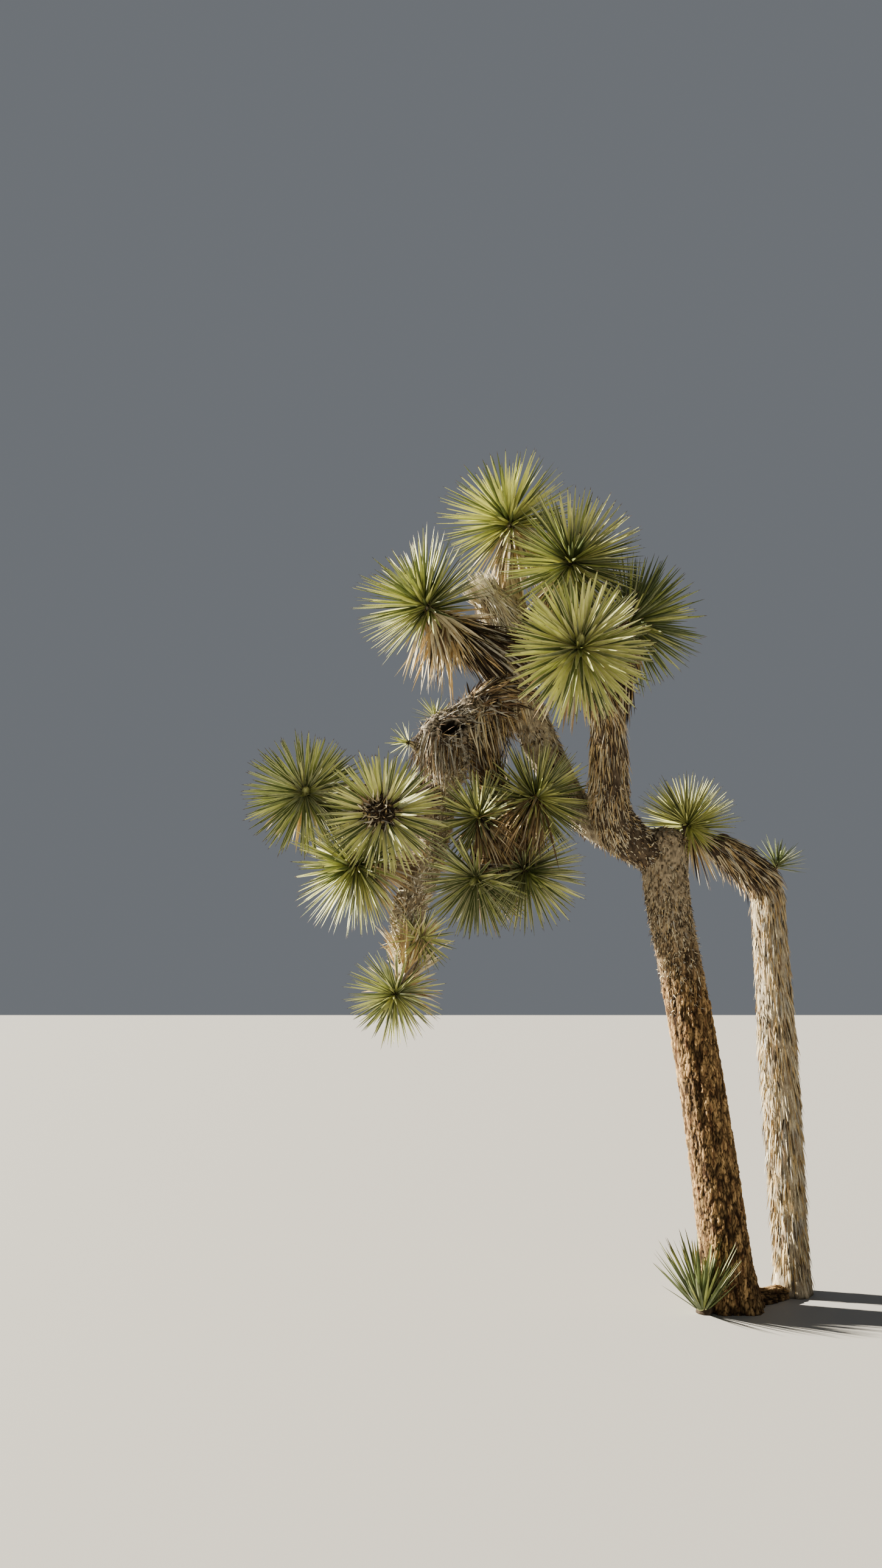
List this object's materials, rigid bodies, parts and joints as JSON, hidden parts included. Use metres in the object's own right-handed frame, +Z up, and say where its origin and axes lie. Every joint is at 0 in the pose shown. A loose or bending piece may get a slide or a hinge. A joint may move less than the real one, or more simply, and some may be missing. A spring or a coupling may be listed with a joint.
{
  "type": "joshua tree",
  "caption": "Desert tree with a leaning corky trunk, a slimmer shaggy second stem, bent boughs and rosettes of stiff dagger leaves above skirts of dead ones.",
  "frame": {"origin": "middle of the flat cut under the trunk, at ground level", "axes": "+Z up, -Y towards the side the tree is mostly seen from, +X to the right from there, towards the second stem; the crown reaches out over -X"},
  "size_m": [2.88, 1.3009, 4.3956],
  "materials": {
    "trunk_bark": "corky, furrowed bark",
    "pale_thatch": "bough clad in pale grey straw of dead leaves",
    "shaggy_bark": "bough clad in brown fibre and broken leaf ends",
    "dead_leaves": "dry matt straw",
    "living_leaves": "stiff yellow-green blade, slightly waxy"
  },
  "bodies": {
    "root": {"trunk": "trunk_bark", "root_ridge": "trunk_bark", "second_stem": "pale_thatch", "crown_bough": "pale_thatch", "broken_bough": "pale_thatch", "hanging_bough_upper": "pale_thatch", "hanging_bough_lower": "pale_thatch", "left_low_bough": "pale_thatch", "second_stem_arm": "shaggy_bark", "front_bough_lower": "shaggy_bark", "front_bough_upper": "shaggy_bark", "rear_bough": "shaggy_bark", "back_bough_lower": "shaggy_bark", "back_bough_upper": "shaggy_bark", "upper_front_bough": "shaggy_bark", "left_high_bough": "shaggy_bark", "old_bough": "shaggy_bark", "drooping_bough_upper": "shaggy_bark", "drooping_bough_lower": "shaggy_bark", "far_left_bough": "shaggy_bark", "old_head": "dead_leaves", "skirt_left_high": "dead_leaves", "skirt_hanging": "dead_leaves", "skirt_drooping": "dead_leaves", "rosette_great": "living_leaves", "rosette_upper_front": "living_leaves", "rosette_summit": "living_leaves", "rosette_rear": "living_leaves", "rosette_left_high": "living_leaves", "rosette_flowered": "living_leaves", "rosette_far_left": "living_leaves", "rosette_left_low": "living_leaves", "rosette_middle_right": "living_leaves", "rosette_middle_left": "living_leaves", "rosette_lower_right": "living_leaves", "rosette_lower_middle": "living_leaves", "rosette_second_stem": "living_leaves", "rosette_hanging": "living_leaves", "sprig_hanging": "living_leaves", "sprig_second_stem": "living_leaves", "sprig_old_head_top": "living_leaves", "sprig_old_head_side": "living_leaves", "sprout_base": "living_leaves"}
  },
  "joints": []
}
